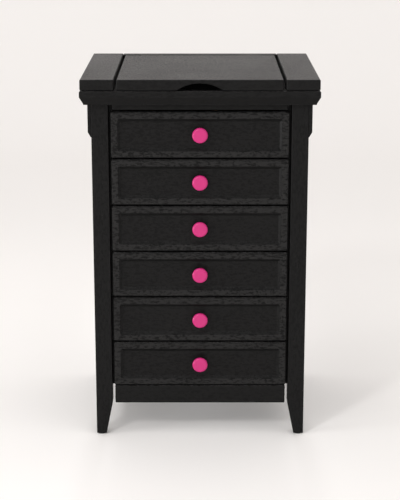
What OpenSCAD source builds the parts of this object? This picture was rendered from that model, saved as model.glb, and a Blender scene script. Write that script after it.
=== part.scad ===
// Jewelry armoire: six drawers, a lift-up lid with a mirror, and two side doors with necklace hooks.
// Millimetres. +Z is up and the front faces -Y. The origin is on the floor, under the middle of the box.

/* [Overall] */
// Width of the top across both end strips
top_w = 485; // [400:1:640]
// Depth of the case between the faces of its front and back posts
case_d = 369.5; // [320:0.5:480]
// Number of drawers
drawer_count = 6; // [3:1:6]
// Height of a drawer front
drawer_h = 95.6; // [75:0.1:120]
// Height of the lower edge of the bottom rail above the floor
leg_h = 72; // [50:1:110]

/* [Top] */
// Thickness of the lid, the end strips and the rear strip
top_t = 22; // [18:1:30]
// Overhang of the top beyond the posts at the front and sides
top_overhang = 20.5; // [12:0.5:24]
// Overhang of the top behind the case
back_overhang = 4; // [0:1:10]
// Width of each end strip
strip_w = 68.5; // [56:0.5:74]
// Gap between the lid and each end strip
lid_side_gap = 5.5; // [2:0.5:6]
// Depth of the fixed strip behind the lid, which joins the end strips
rear_strip_d = 24; // [18:1:40]
// Radius of the top's softened edges
edge_r = 3; // [2:0.5:4]
// Width of the finger notch in the lid's front edge
notch_w = 93; // [60:1:120]
// Height of the finger notch
notch_h = 14.6; // [8:0.1:16]
// Depth of the finger notch
notch_d = 14; // [8:1:16]

/* [Cornice] */
// Height of the cornice
cornice_h = 28.5; // [24:0.5:36]
// Height of the upright band along the cornice's upper edge
bead_h = 12; // [8:0.5:14]
// Reach of the cornice's lower edge beyond the posts, from which it slopes out to the bead
cornice_foot = 14; // [10:0.5:16]
// Reach of the band past the edge of the top
bead_proud = 1; // [0:0.5:2]
// Shadow gap between the cornice and the top
shadow_gap = 1.5; // [0.5:0.5:3]

/* [Case] */
// Width of a post seen from the front
post_w = 35; // [28:1:40]
// Depth of a post
post_d = 30; // [26:1:40]
// Width and depth of a leg at the floor
foot_w = 21; // [14:1:25]
// Thickness of the inner partitions
partition_t = 12; // [9:1:16]
// Thickness of the plywood back, bottom and compartment floor
ply_t = 6; // [4:1:9]
// Height of the bottom rail
rail_h = 38.5; // [30:0.5:60]
// Visible height of the top rail below the cornice
top_rail_h = 12.8; // [8:0.1:30]
// How far the side friezes stand proud of the posts
frieze_proud = 7; // [4:0.5:9]
// Height of a side frieze below the cornice
frieze_h = 71; // [50:1:110]
// Height of the chamfer along a frieze's lower edge
frieze_chamfer = 12; // [6:1:20]
// Thickness of the floor glides
glide_t = 2; // [1:0.5:4]

/* [Drawers] */
// Thickness of a drawer front
front_t = 18; // [15:1:22]
// Gap between a drawer front and a post
front_side_gap = 4.2; // [2:0.1:6]
// Gap between one drawer front and the next
front_gap = 3.3; // [2:0.1:5]
// Width of the flat frame round a drawer front
frame_w = 12.8; // [8:0.1:20]
// Width of the bevel inside the frame
bevel_w = 8; // [4:0.5:12]
// Depth of the sunk panel
panel_sink = 5; // [2:0.5:7]
// Thickness of the drawer sides
side_t = 9; // [7:1:12]
// Clearance between a drawer side and a partition
side_gap = 1.5; // [1:0.5:3]
// Height of a drawer runner
runner_h = 10; // [6:1:14]
// Clearance of a runner in its groove
runner_clear = 0.4; // [0.2:0.1:1]

/* [Knobs] */
// Diameter of a knob
knob_d = 32; // [25:1:40]
// Length of a knob from the sunk panel to its face
knob_l = 20; // [16:1:26]
// Thickness of the knob's disc
knob_disc = 9; // [6:0.5:12]
// Diameter of the knob screws
screw_d = 4; // [3:0.5:5]

/* [Doors] */
// Thickness of a side door
door_t = 14; // [12:1:18]
// Width of a door's stiles
stile_w = 38; // [30:1:60]
// Height of a door's rails
door_rail_h = 44; // [30:1:70]
// Thickness of a door's panel
door_panel_t = 6; // [4:1:8]
// Gap round a door
door_gap = 2.5; // [1.5:0.5:4]
// Necklace hooks on each side
hook_count = 8; // [4:1:12]

/* [Hinges] */
// Length of a hinge
hinge_l = 48; // [30:1:70]
// Thickness of a hinge leaf
leaf_t = 1.2; // [0.8:0.1:1.4]
// Gap that the knuckles and the two leaves stand in
hinge_gap = 4.8; // [4.8:0.1:6]
// Radius of the hinge knuckles
knuckle_r = 2.2; // [2:0.1:2.2]
// Radius of the hinge pins
pin_r = 1.1; // [0.8:0.1:1.3]

/* [Compartment under the lid] */
// Thickness of the divider boards
divider_t = 3; // [2:0.5:5]
// Height of the divider boards
divider_h = 22; // [15:1:26]
// Radius of a ring roll
roll_r = 8; // [6:0.5:10]
// Number of ring rolls
roll_count = 8; // [4:1:12]
// Width of the mirror's frame
mirror_frame_w = 14; // [10:1:25]
// Thickness of the mirror's frame
mirror_frame_t = 8; // [6:0.5:10]
// Thickness of the mirror glass
glass_t = 3; // [2:0.5:4]

/* [Hidden] */
case_w = top_w - 2 * top_overhang;
front_reach = top_overhang + bead_proud;
y_front = front_reach - (front_reach + case_d + back_overhang) / 2;
y_back = y_front + case_d;
y_top_front = y_front - top_overhang;
y_top_back = y_back + back_overhang;
x_post = case_w / 2 - post_w;

// heights, from the floor up
z_rail = leg_h + rail_h;
rail_clear = 2.2;
z_drawer = z_rail + rail_clear;
pitch = drawer_h + front_gap;
z_drawers_top = z_drawer + drawer_count * pitch - front_gap;
top_rail_clear = 4.4;
z_deck = z_drawers_top + top_rail_clear;
z_cornice = z_deck + top_rail_h;
z_cornice_top = z_cornice + cornice_h;
z_top = z_cornice_top + shadow_gap;
z_all = z_top + top_t;
z_frieze = z_cornice - frieze_h;

// across
x_strip = top_w / 2 - strip_w;
lid_hw = x_strip - lid_side_gap;
strip_seat = 1.5;
x_wall = x_strip + strip_seat;
x_inner = x_wall - partition_t;
x_door = case_w / 2 - door_t;

// front to back
front_clear = 1;
y_inner = y_front + front_t + front_clear;
back_rebate = 4;
y_ply = y_back - ply_t - back_rebate;
y_side_front = y_front + post_d;
y_side_back = y_back - post_d;

// drawers
front_hw = x_post - front_side_gap;
box_hw = x_inner - side_gap;
box_back_gap = 12;
y_box_back = y_ply - box_back_gap;
box_lift = 8;
box_top_clear = 11;
box_h = drawer_h - box_lift - box_top_clear;
bottom_lift = 6;
drawer_ply = 4;
groove_d = side_t - 3;
groove_z = 34;
glue = 0.1;

// knobs
knob_z = drawer_h / 2 + 1.5;
y_panel = y_front + panel_sink;
screw_clear = 0.25;
thread_clear = 0.05;
thread_l = 11;
head_h = 3;

// lid and hinges
y_lid_back = y_top_back - rear_strip_d - hinge_gap;
pivot_inset = 2;
pin_clear = 0.06;
swing_clear = 0.3;
y_lid_pivot = y_lid_back + hinge_gap / 2;
z_lid_pivot = z_all - pivot_inset;
lid_hinge_x = lid_hw - 60;
leaf_clear = 3;
lid_leaf_w = top_t - pivot_inset - leaf_clear;

// doors
door_z0 = z_rail + door_gap;
door_z1 = z_frieze - door_gap;
y_door0 = y_side_front + door_gap;
y_door1 = y_side_back - hinge_gap;
x_door_pivot = case_w / 2 - pivot_inset;
y_door_pivot = y_side_back - hinge_gap / 2;
door_leaf_w = door_t - pivot_inset - leaf_clear;
door_hinge_z = 70;
scoop_r = 11;
scoop_h = 60;
z_door_mid = (door_z0 + door_z1) / 2;
panel_tongue = 6;
panel_clear = 0.3;
plate_t = 1;
plate_hh = 18;
catch_w = 12;
catch_d = 14;
catch_hh = 16;
catch_clear = 0.2;
hook_l = 15;
hook_drop = 30;

// compartment under the lid
z_tray = z_deck + ply_t;
mirror_margin = 12;
mirror_back_margin = 24;
mirror_hw = x_inner - mirror_margin;
mirror_y0 = y_inner + mirror_margin;
mirror_y1 = y_lid_back - mirror_back_margin;
mirror_lip = 4;
mirror_clear = 0.3;
roll_end = 4;
roll_lift = 1;
roll_l = x_inner - 3 * roll_end;
roll_pitch = (y_ply - y_inner) / roll_count;
cell_count = 3;

function arc(cx, cy, r, from, to, steps = 4) =
  [for (i = [0 : steps]) let (a = from + (to - from) * i / steps) [cx + r * cos(a), cy + r * sin(a)]];

// Rectangle from [x0, y0] to [x1, y1] with round corners.
module soft_rect(x0, y0, x1, y1, r) {
  polygon(concat(
    arc(x1 - r, y1 - r, r, 0, 90),
    arc(x0 + r, y1 - r, r, 90, 180),
    arc(x0 + r, y0 + r, r, 180, 270),
    arc(x1 - r, y0 + r, r, 270, 360)));
}

// Box between two corners.
module block(lo, hi) {
  translate(lo) cube(hi - lo);
}

// Boards whose four long edges are rounded: along X, along Y and along Z.
module board_x(lo, hi, r) {
  translate([lo.x, 0, 0]) rotate([90, 0, 90]) linear_extrude(hi.x - lo.x) soft_rect(lo.y, lo.z, hi.y, hi.z, r);
}
module board_y(lo, hi, r) {
  translate([0, hi.y, 0]) rotate([90, 0, 0]) linear_extrude(hi.y - lo.y) soft_rect(lo.x, lo.z, hi.x, hi.z, r);
}
module board_z(lo, hi, r) {
  translate([0, 0, lo.z]) linear_extrude(hi.z - lo.z) soft_rect(lo.x, lo.y, hi.x, hi.y, r);
}

module on_side(right) {
  if (right) children();
  else mirror([1, 0, 0]) children();
}

// Rod along X, Y or Z from a point.
module rod_x(p, l, r) { translate(p) rotate([0, 90, 0]) cylinder(h = l, r = r, $fn = 48); }
module rod_y(p, l, r) { translate(p) rotate([-90, 0, 0]) cylinder(h = l, r = r, $fn = 48); }

// ---- case ----

// Tapered leg blank: straight above the rail's lower edge, narrowing on its inner faces below it.
module leg_blank(x_in, y0, y1, inner_y) {
  taper_x = case_w / 2 - foot_w;
  foot_y = inner_y > (y0 + y1) / 2 ? y0 + foot_w : y1 - foot_w;
  outer_y = inner_y > (y0 + y1) / 2 ? y0 : y1;
  intersection() {
    translate([0, y1, 0]) rotate([90, 0, 0]) linear_extrude(y1 - y0)
      polygon([[x_in, z_top], [case_w / 2, z_top], [case_w / 2, glide_t], [taper_x, glide_t], [x_in, leg_h]]);
    rotate([90, 0, 90]) linear_extrude(case_w)
      polygon([[outer_y, z_top], [inner_y, z_top], [inner_y, leg_h], [foot_y, glide_t], [outer_y, glide_t]]);
  }
}

module front_post(right) {
  color([0.13, 0.13, 0.13]) on_side(right) difference() {
    union() {
      leg_blank(x_post, y_front, y_side_front, y_side_front);
      block([x_wall, y_inner, z_rail], [x_post + 1, y_side_front, z_top]);
    }
    translate([case_w / 2, y_side_front, z_door_mid - scoop_h / 2]) cylinder(h = scoop_h, r = scoop_r, $fn = 48);
  }
}

module back_post(right) {
  color([0.13, 0.13, 0.13]) on_side(right) difference() {
    union() {
      leg_blank(x_post, y_side_back, y_back, y_side_back);
      block([x_wall, y_side_back, z_rail], [x_post + 1, y_back, z_top]);
    }
    // softened corner beside the door, which the door's edge turns past
    translate([0, 0, door_z0 - door_gap]) linear_extrude(door_z1 - door_z0 + 2 * door_gap) difference() {
      translate([case_w / 2 - edge_r, y_side_back - 1]) square([edge_r + 1, edge_r + 1]);
      translate([case_w / 2 - edge_r, y_side_back + edge_r]) circle(r = edge_r, $fn = 48);
    }
  }
}

module partition(right) {
  color([0.13, 0.13, 0.13]) on_side(right) block([x_inner, y_inner, z_rail], [x_wall, y_ply, z_top]);
}

module back_panel() {
  color([0.16, 0.16, 0.16]) block([-x_wall, y_ply, leg_h], [x_wall, y_ply + ply_t, z_top]);
}

module bottom_board() {
  color([0.16, 0.16, 0.16]) union() {
    block([-x_wall, y_inner, z_rail - ply_t], [x_wall, y_ply, z_rail]);
    block([-x_door, y_side_front, z_rail - ply_t], [x_door, y_side_back, z_rail]);
  }
}

module compartment_floor() {
  color([0.16, 0.16, 0.16]) block([-x_inner, y_inner, z_deck], [x_inner, y_ply, z_tray]);
}

module top_rail() {
  end_inset = 4.8;
  top_clear = 1;
  color([0.13, 0.13, 0.13])
    board_y([-front_hw + end_inset, y_front, z_deck], [front_hw - end_inset, y_inner, z_top - top_clear], edge_r);
}

module bottom_rail() {
  end_inset = 1.6;
  color([0.13, 0.13, 0.13])
    board_y([-front_hw + end_inset, y_front, leg_h], [front_hw - end_inset, y_inner, z_rail], edge_r);
}

module side_rails() {
  color([0.13, 0.13, 0.13]) for (right = [false, true])
    on_side(right) block([x_door, y_side_front, leg_h], [case_w / 2, y_side_back, z_rail]);
}

// A frieze lies over the outer faces of the posts and fills the side between them above the door.
module frieze(right) {
  color([0.13, 0.13, 0.13]) on_side(right) union() {
    translate([0, y_back, 0]) rotate([90, 0, 0]) linear_extrude(case_d)
      polygon([[case_w / 2, z_frieze], [case_w / 2 + frieze_proud, z_frieze + frieze_chamfer],
               [case_w / 2 + frieze_proud, z_cornice_top], [case_w / 2, z_cornice_top]]);
    block([x_door, y_side_front, z_frieze], [case_w / 2 + 1, y_side_back, z_cornice_top]);
  }
}

// Outline of the cornice: a slope below and an upright band above. The first axis is the reach beyond the posts.
module cornice_outline() {
  foot_lip = 1.2;
  polygon(concat(
    [[0, z_cornice], [cornice_foot, z_cornice], [cornice_foot, z_cornice + foot_lip],
     [front_reach, z_cornice_top - bead_h]],
    arc(front_reach - edge_r, z_cornice_top - edge_r, edge_r, 0, 90),
    [[0, z_cornice_top]]));
}

module cornice() {
  mitre = front_reach;
  color([0.13, 0.13, 0.13]) {
    intersection() {
      translate([-case_w, y_front, 0]) rotate([90, 0, 90]) linear_extrude(2 * case_w)
        mirror([1, 0]) cornice_outline();
      linear_extrude(z_all) polygon([[-case_w / 2, y_front], [case_w / 2, y_front],
        [case_w / 2 + mitre, y_front - mitre], [-case_w / 2 - mitre, y_front - mitre]]);
    }
    for (right = [false, true]) on_side(right) difference() {
      intersection() {
        translate([case_w / 2, y_back, 0]) rotate([90, 0, 0]) linear_extrude(case_d + mitre) cornice_outline();
        linear_extrude(z_all) polygon([[case_w / 2, y_front + glue], [case_w / 2 + mitre, y_front - mitre + glue],
          [case_w / 2 + mitre, y_back], [case_w / 2, y_back]]);
      }
      block([0, y_front, 0], [case_w / 2 + frieze_proud, y_back + 1, z_all]);
    }
  }
}

module end_strip(right) {
  color([0.42, 0.41, 0.41]) on_side(right)
    board_y([x_strip, y_top_front, z_top], [top_w / 2, y_top_back, z_all], edge_r);
}

module rear_strip() {
  color([0.42, 0.41, 0.41]) board_x([-x_strip, y_lid_back + hinge_gap, z_top], [x_strip, y_top_back, z_all], edge_r);
}

module drawer_runners() {
  color([0.55, 0.42, 0.28]) for (i = [0 : drawer_count - 1]) for (right = [false, true]) on_side(right)
    block([box_hw - groove_d + runner_clear, y_inner + 6, z_runner(i)],
          [x_inner, y_box_back, z_runner(i) + runner_h]);
}

module floor_glides() {
  color([0.08, 0.08, 0.08]) for (right = [false, true]) on_side(right)
    for (y = [y_front + foot_w / 2, y_back - foot_w / 2])
      translate([case_w / 2 - foot_w / 2, y, 0]) cylinder(h = glide_t, r = foot_w / 2 - 2, $fn = 48);
}

// ---- drawers, counted from the top ----

function z_front(i) = z_drawer + (drawer_count - 1 - i) * pitch;
function z_runner(i) = z_front(i) + box_lift + groove_z;

// Sunk panel with sloping sides: the meeting of a trough along X and a trough along Z.
module sunk_panel(z0) {
  half = front_hw - frame_w;
  foot = half - bevel_w;
  low = z0 + frame_w;
  high = z0 + drawer_h - frame_w;
  out = 1;
  lead = bevel_w * out / panel_sink;
  intersection() {
    linear_extrude(z_all) polygon([[-half - lead, y_front - out], [half + lead, y_front - out], [foot, y_panel], [-foot, y_panel]]);
    translate([-top_w, 0, 0]) rotate([90, 0, 90]) linear_extrude(2 * top_w)
      polygon([[y_front - out, low - lead], [y_front - out, high + lead],
               [y_panel, high - bevel_w], [y_panel, low + bevel_w]]);
  }
}

module drawer_front(i) {
  color([0.15, 0.15, 0.15]) difference() {
    board_y([-front_hw, y_front, z_front(i)], [front_hw, y_front + front_t, z_front(i) + drawer_h], edge_r + 0.5);
    sunk_panel(z_front(i));
    rod_y([0, y_front, z_front(i) + knob_z], front_t + 1, screw_d / 2 + screw_clear);
  }
}

// Two sides, a back, an inner front and a plywood bottom, each its own board. The bottom lies in grooves.
module drawer_box(i) {
  z0 = z_front(i) + box_lift;
  y0 = y_front + front_t;
  z_ply = z0 + bottom_lift;
  tongue = 4;
  color([0.62, 0.5, 0.36]) {
    difference() {
      union() {
        for (right = [false, true]) on_side(right) block([box_hw - side_t, y0, z0], [box_hw, y_box_back, z0 + box_h]);
        for (y = [y0, y_box_back - side_t])
          block([-box_hw + side_t + glue, y, z0], [box_hw - side_t - glue, y + side_t, z0 + box_h]);
      }
      block([-box_hw + side_t - tongue - glue, y0 + side_t - tongue - glue, z_ply - glue],
            [box_hw - side_t + tongue + glue, y_box_back - side_t + tongue + glue, z_ply + drawer_ply + glue]);
      for (right = [false, true]) on_side(right)
        block([box_hw - groove_d, y0 - 1, z_runner(i) - runner_clear],
              [box_hw + 1, y_box_back + 1, z_runner(i) + runner_h + runner_clear]);
      rod_y([0, y0 - 1, z_front(i) + knob_z], side_t + 2, screw_d / 2 + screw_clear);
    }
    block([-box_hw + side_t - tongue, y0 + side_t - tongue, z_ply],
          [box_hw - side_t + tongue, y_box_back - side_t + tongue, z_ply + drawer_ply]);
  }
}

// Round knob: flared foot, narrow neck and a flat-faced disc with a rounded rim.
module knob(i) {
  r = knob_d / 2;
  foot_r = 8;
  neck_r = 6.5;
  rim_r = knob_disc / 2;
  color([0.89, 0.23, 0.53]) translate([0, y_panel, z_front(i) + knob_z]) rotate([90, 0, 0]) difference() {
    rotate_extrude($fn = 96) polygon(concat(
      [[0, 0], [foot_r, 0], [foot_r, 1.5], [neck_r, 4], [neck_r, knob_l - knob_disc - 1.5]],
      [[r - rim_r, knob_l - knob_disc]],
      arc(r - rim_r, knob_l - rim_r, rim_r, -90, 90, 10),
      [[0, knob_l]]));
    translate([0, 0, -1]) cylinder(h = thread_l + 1.5, r = screw_d / 2 + thread_clear, $fn = 48);
  }
}

module screw(i) {
  y_head = y_front + front_t + side_t;
  z = z_front(i) + knob_z;
  color([0.6, 0.6, 0.6]) union() {
    rod_y([0, y_panel - thread_l, z], y_head - y_panel + thread_l + 0.5, screw_d / 2);
    difference() {
      rod_y([0, y_head, z], head_h, screw_d);
      block([-screw_d, y_head + head_h - 1.2, z - 0.5], [screw_d, y_head + head_h + 1, z + 0.5]);
    }
  }
}

// ---- hinges ----
// Local frame: pin along X, outer faces of both boards at +Z, fixed board at +Y and moving board at -Y.

module knuckles(moving) {
  third = hinge_l / 3;
  gap = 0.15;
  spans = moving ? [[-third / 2 + gap, third / 2 - gap]]
                 : [[-hinge_l / 2, -third / 2 - gap], [third / 2 + gap, hinge_l / 2]];
  for (s = spans) rod_x([s[0], 0, 0], s[1] - s[0], knuckle_r);
}

module leaf(moving, leaf_w) {
  side = moving ? -1 : 1;
  third = hinge_l / 3;
  y = hinge_gap / 2;
  far = hinge_l / 2 + 1;
  spans = moving ? [[-far, -third / 2], [third / 2, far]] : [[-third / 2, third / 2]];
  difference() {
    union() {
      translate([-hinge_l / 2, side > 0 ? y - leaf_t : -y, -leaf_w]) cube([hinge_l, leaf_t, leaf_w]);
      knuckles(moving);
    }
    for (s = spans) rod_x([s[0], 0, 0], s[1] - s[0], knuckle_r + swing_clear);
    rod_x([-far, 0, 0], 2 * far, pin_r + pin_clear);
  }
}

module hinge_pin() {
  rod_x([-hinge_l / 2, 0, 0], hinge_l, pin_r);
}

module lid_hinge_places() {
  for (x = [-lid_hinge_x, lid_hinge_x]) translate([x, y_lid_pivot, z_lid_pivot]) children();
}

// The right door's hinges: pin along Z, outer face towards +X.
module door_hinge_places() {
  for (z = [door_z0 + door_hinge_z, door_z1 - door_hinge_z])
    translate([x_door_pivot, y_door_pivot, z]) rotate([0, 90, 0]) children();
}

module lid_hinge_leaves() {
  color([0.2, 0.18, 0.16]) lid_hinge_places() {
    leaf(false, lid_leaf_w);
    hinge_pin();
  }
}

module lid_hinge_flaps() {
  color([0.2, 0.18, 0.16]) lid_hinge_places() leaf(true, lid_leaf_w);
}

module door_hinge_leaves() {
  color([0.2, 0.18, 0.16]) for (right = [false, true]) on_side(right) door_hinge_places() {
    leaf(false, door_leaf_w);
    hinge_pin();
  }
}

// ---- lid ----

module lid_panel() {
  notch_r = (notch_w * notch_w / 4 + notch_h * notch_h) / (2 * notch_h);
  color([0.42, 0.41, 0.41]) difference() {
    board_x([-lid_hw, y_top_front, z_top], [lid_hw, y_lid_back, z_all], edge_r);
    translate([0, y_top_front - 1, z_top + notch_h - notch_r]) rotate([-90, 0, 0])
      cylinder(h = notch_d + 1, r = notch_r, $fn = 128);
  }
}

// Four rebated strips round the glass, on the underside of the lid.
module mirror_frame() {
  lip = mirror_lip;
  z0 = z_top - mirror_frame_t;
  w = mirror_frame_w;
  seat_z = z_top - glass_t - mirror_clear;
  color([0.13, 0.13, 0.13]) difference() {
    union() {
      for (x = [-mirror_hw, mirror_hw - w]) block([x, mirror_y0, z0], [x + w, mirror_y1, z_top]);
      for (y = [mirror_y0, mirror_y1 - w])
        block([-mirror_hw + w + glue, y, z0], [mirror_hw - w - glue, y + w, z_top]);
    }
    block([-mirror_hw + w - lip, mirror_y0 + w - lip, seat_z], [mirror_hw - w + lip, mirror_y1 - w + lip, z_top + 1]);
  }
}

module mirror_glass() {
  inset = mirror_frame_w - mirror_lip + mirror_clear;
  color([0.8, 0.85, 0.88])
    block([-mirror_hw + inset, mirror_y0 + inset, z_top - glass_t - glue],
          [mirror_hw - inset, mirror_y1 - inset, z_top - glue]);
}

// ---- compartment under the lid ----

// One long board with cross boards to its right, which make square cells.
module tray_dividers() {
  x0 = 0;
  length = y_ply - y_inner;
  color([0.25, 0.2, 0.2]) union() {
    block([x0, y_inner, z_tray], [x0 + divider_t, y_ply, z_tray + divider_h]);
    block([x_inner / 2, y_inner, z_tray], [x_inner / 2 + divider_t, y_ply, z_tray + divider_h]);
    for (i = [1 : cell_count - 1]) let (y = y_inner + i * length / cell_count)
      block([x0 + 1, y, z_tray], [x_inner, y + divider_t, z_tray + divider_h]);
  }
}

module ring_rolls() {
  color([0.75, 0.72, 0.7]) for (i = [0 : roll_count - 1])
    rod_x([-x_inner + roll_end, y_inner + (i + 0.5) * roll_pitch, z_tray + roll_r + roll_lift], roll_l, roll_r);
}

// ---- side doors ----

module door_frame(right) {
  x_mid = case_w / 2 - door_t / 2;
  groove = door_panel_t / 2 + panel_clear;
  y2 = y_door0 + stile_w;
  y3 = y_door1 - stile_w;
  z2 = door_z0 + door_rail_h;
  z3 = door_z1 - door_rail_h;
  color([0.15, 0.15, 0.15]) on_side(right) difference() {
    union() {
      block([x_door, y_door0, door_z0], [case_w / 2, y2, door_z1]);
      board_z([x_door, y3, door_z0], [case_w / 2, y_door1, door_z1], edge_r);
      block([x_door, y2 + glue, door_z0], [case_w / 2, y3 - glue, z2]);
      block([x_door, y2 + glue, z3], [case_w / 2, y3 - glue, door_z1]);
    }
    block([x_mid - groove, y2 - panel_tongue - panel_clear, z2 - panel_tongue - panel_clear],
          [x_mid + groove, y3 + panel_tongue + panel_clear, z3 + panel_tongue + panel_clear]);
  }
}

module door_panel(right) {
  x_mid = case_w / 2 - door_t / 2;
  color([0.15, 0.15, 0.15]) on_side(right)
    block([x_mid - door_panel_t / 2, y_door0 + stile_w - panel_tongue, door_z0 + door_rail_h - panel_tongue],
          [x_mid + door_panel_t / 2, y_door1 - stile_w + panel_tongue, door_z1 - door_rail_h + panel_tongue]);
}

// Moving leaves of the two hinges, and the steel plate that the magnet holds.
module door_fittings(right) {
  color([0.2, 0.18, 0.16]) on_side(right) {
    door_hinge_places() leaf(true, door_leaf_w);
    block([x_door - plate_t, y_door0 + 2, z_door_mid - plate_hh],
          [x_door, y_side_front + catch_d, z_door_mid + plate_hh]);
  }
}

module door_catches() {
  color([0.1, 0.1, 0.1]) for (right = [false, true]) on_side(right)
    block([x_door - catch_w, y_side_front, z_door_mid - catch_hh],
          [x_door - plate_t - catch_clear, y_side_front + catch_d, z_door_mid + catch_hh]);
}

// Pegs with ball ends on the outer face of each partition, under the friezes.
module necklace_hooks() {
  span = y_door1 - y_door0 - 2 * stile_w;
  z = door_z1 - hook_drop;
  rose_t = 1.5;
  rose_r = 4;
  peg_r = 1.5;
  ball_r = 2.6;
  color([0.7, 0.62, 0.4]) for (right = [false, true]) on_side(right) for (i = [0 : hook_count - 1])
    let (y = y_door0 + stile_w + span * (i + 0.5) / hook_count) union() {
      rod_x([x_wall, y, z], rose_t, rose_r);
      rod_x([x_wall + rose_t / 2, y, z], hook_l - rose_t / 2, peg_r);
      translate([x_wall + hook_l, y, z]) sphere(r = ball_r, $fn = 48);
    }
}

front_post(false);  // left_front_post
front_post(true);  // right_front_post
back_post(false);  // left_back_post
back_post(true);  // right_back_post
partition(false);  // left_partition
partition(true);  // right_partition
back_panel();
bottom_board();
compartment_floor();
top_rail();
bottom_rail();
side_rails();
frieze(false);  // left_frieze
frieze(true);  // right_frieze
cornice();
end_strip(false);  // left_end_strip
end_strip(true);  // right_end_strip
rear_strip();
drawer_runners();
floor_glides();
lid_panel();
mirror_frame();
mirror_glass();
lid_hinge_leaves();
lid_hinge_flaps();
tray_dividers();
ring_rolls();
door_frame(false);  // left_door_frame
door_panel(false);  // left_door_panel
door_fittings(false);  // left_door_fittings
door_frame(true);  // right_door_frame
door_panel(true);  // right_door_panel
door_fittings(true);  // right_door_fittings
door_hinge_leaves();
necklace_hooks();
door_catches();
for (i = [0 : drawer_count - 1]) {
  drawer_front(i);
  drawer_box(i);
  knob(i);
  screw(i);
}
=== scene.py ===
"""Jewelry armoire: fine boards, mouldings, knobs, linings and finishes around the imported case."""

import math

import bpy
import numpy as np
from bpy.props import FloatProperty, FloatVectorProperty, IntProperty, PointerProperty
from mathutils import Euler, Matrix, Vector


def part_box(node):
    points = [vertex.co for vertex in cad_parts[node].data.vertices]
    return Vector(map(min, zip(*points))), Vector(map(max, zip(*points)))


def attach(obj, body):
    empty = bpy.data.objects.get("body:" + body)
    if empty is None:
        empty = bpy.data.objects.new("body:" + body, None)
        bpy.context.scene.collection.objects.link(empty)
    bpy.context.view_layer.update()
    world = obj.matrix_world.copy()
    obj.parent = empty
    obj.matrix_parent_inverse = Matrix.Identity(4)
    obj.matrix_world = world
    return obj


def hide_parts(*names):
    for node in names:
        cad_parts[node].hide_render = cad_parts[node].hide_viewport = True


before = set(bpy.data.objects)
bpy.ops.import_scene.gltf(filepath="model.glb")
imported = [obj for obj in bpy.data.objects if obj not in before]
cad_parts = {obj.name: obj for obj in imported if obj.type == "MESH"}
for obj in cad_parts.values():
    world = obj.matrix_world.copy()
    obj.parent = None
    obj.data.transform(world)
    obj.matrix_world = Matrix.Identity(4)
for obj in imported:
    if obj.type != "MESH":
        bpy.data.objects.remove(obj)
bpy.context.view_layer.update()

bl_info = {
    "name": "Jewelry Armoire",
    "version": (1, 0, 0),
    "blender": (4, 5, 0),
    "location": "View3D > Sidebar > Armoire",
    "description": "Builds a black jewelry armoire with drawers, a lid and side doors",
    "category": "Add Mesh",
}

DRAWERS = sum(1 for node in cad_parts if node.endswith("_knob"))
MM = 0.001
# how far a hold line stands from the round that it keeps off the flat
HOLD = 0.4 * MM
# points along the arc of an outline's corner, and with its two hold points
ARC_STEPS = 5
CORNER_POINTS = ARC_STEPS + 3
# relief of the painted boards: plain ones, the doors' fields and the drawers' frames
PLAIN, FIELD, COARSE = 0.25, 0.35, 1.1
# where the outline's two axes and the way it is carried go, as x, y, z
CARRY = {"x": (2, 0, 1), "y": (0, 2, 1), "z": (0, 1, 2)}


# ---- sizes and colours ----

def length(name, description, default, **limits):
    """A property that holds a length in metres."""
    return FloatProperty(name=name, description=description, default=default, unit="LENGTH", subtype="DISTANCE",
                         **limits)


def colour(name, description, default):
    """A property that holds an opaque colour."""
    return FloatVectorProperty(name=name, description=description, default=(*default, 1), size=4, min=0, max=1,
                               subtype="COLOR")


class ArmoireShape(bpy.types.PropertyGroup):
    """Sizes of the visible shapes that the CAD boxes don't give."""

    edge: length("Edge", "Radius of the softened arrises", 1.8 * MM, min=0.5 * MM, max=4 * MM)
    top_edge: length("Top edge", "Radius round the lid and the end strips", 2.8 * MM, min=1 * MM, max=4 * MM)
    post_width: length("Post width", "Width of a post seen from the front", 35 * MM)
    leg_height: length("Leg height", "Height at which the legs begin to taper", 72 * MM)
    foot_width: length("Foot width", "Width and depth of a leg at the floor", 21 * MM)
    frame_width: length("Frame width", "Width of the flat frame round a drawer front", 14 * MM)
    bevel_width: length("Bevel width", "Width of the slope inside the frame", 6 * MM)
    panel_sink: length("Panel sink", "Depth of a drawer's sunk panel", 5 * MM)
    notch_width: length("Notch width", "Width of the finger notch in the lid", 93 * MM)
    notch_height: length("Notch height", "Height of the finger notch", 14.6 * MM)
    notch_depth: length("Notch depth", "Depth of the finger notch", 14 * MM)
    scoop_radius: length("Scoop radius", "Radius of the finger scoop beside a door", 11 * MM)
    scoop_height: length("Scoop height", "Height of the finger scoop beside a door", 60 * MM)
    stile_width: length("Stile width", "Width of a door's stiles", 38 * MM)
    door_rail: length("Door rail", "Height of a door's rails", 44 * MM)
    mirror_border: length("Mirror border", "Width of the moulding round the mirror", 14 * MM)
    rolls: IntProperty(name="Ring rolls", description="Number of ring rolls in the tray", default=8, min=2, max=12)


class ArmoireFinish(bpy.types.PropertyGroup):
    """Colours and surfaces."""

    paint: colour("Paint", "Black paint on the outside", (0.0058, 0.0057, 0.0057))
    worn_paint: colour("Worn paint", "Paint on the high grain", (0.0205, 0.02, 0.02))
    # painted sheen: a pale colour speckled over faces turned up, standing in for light from above glancing off the
    # paint
    painted_sheen: colour("Dust", "Fine dust on faces turned up", (0.072, 0.069, 0.07))
    knob: colour("Knob", "Enamel of the knobs", (0.57, 0.01, 0.168))
    wood: colour("Inner wood", "Lacquered wood inside", (0.34, 0.2, 0.105))
    velvet: colour("Velvet", "Linings and ring rolls", (0.36, 0.3, 0.28))
    grain: length("Grain", "Height of the paint's raised grain", 0.8 * MM)
    sheen: FloatProperty(name="Sheen", description="Share of the paint's mirror reflection", default=0.09,
                         min=0, max=1)
    bloom: FloatProperty(name="Bloom", description="Pale sheen of the top seen at a low angle", default=0.02,
                         min=0, max=1)


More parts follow.
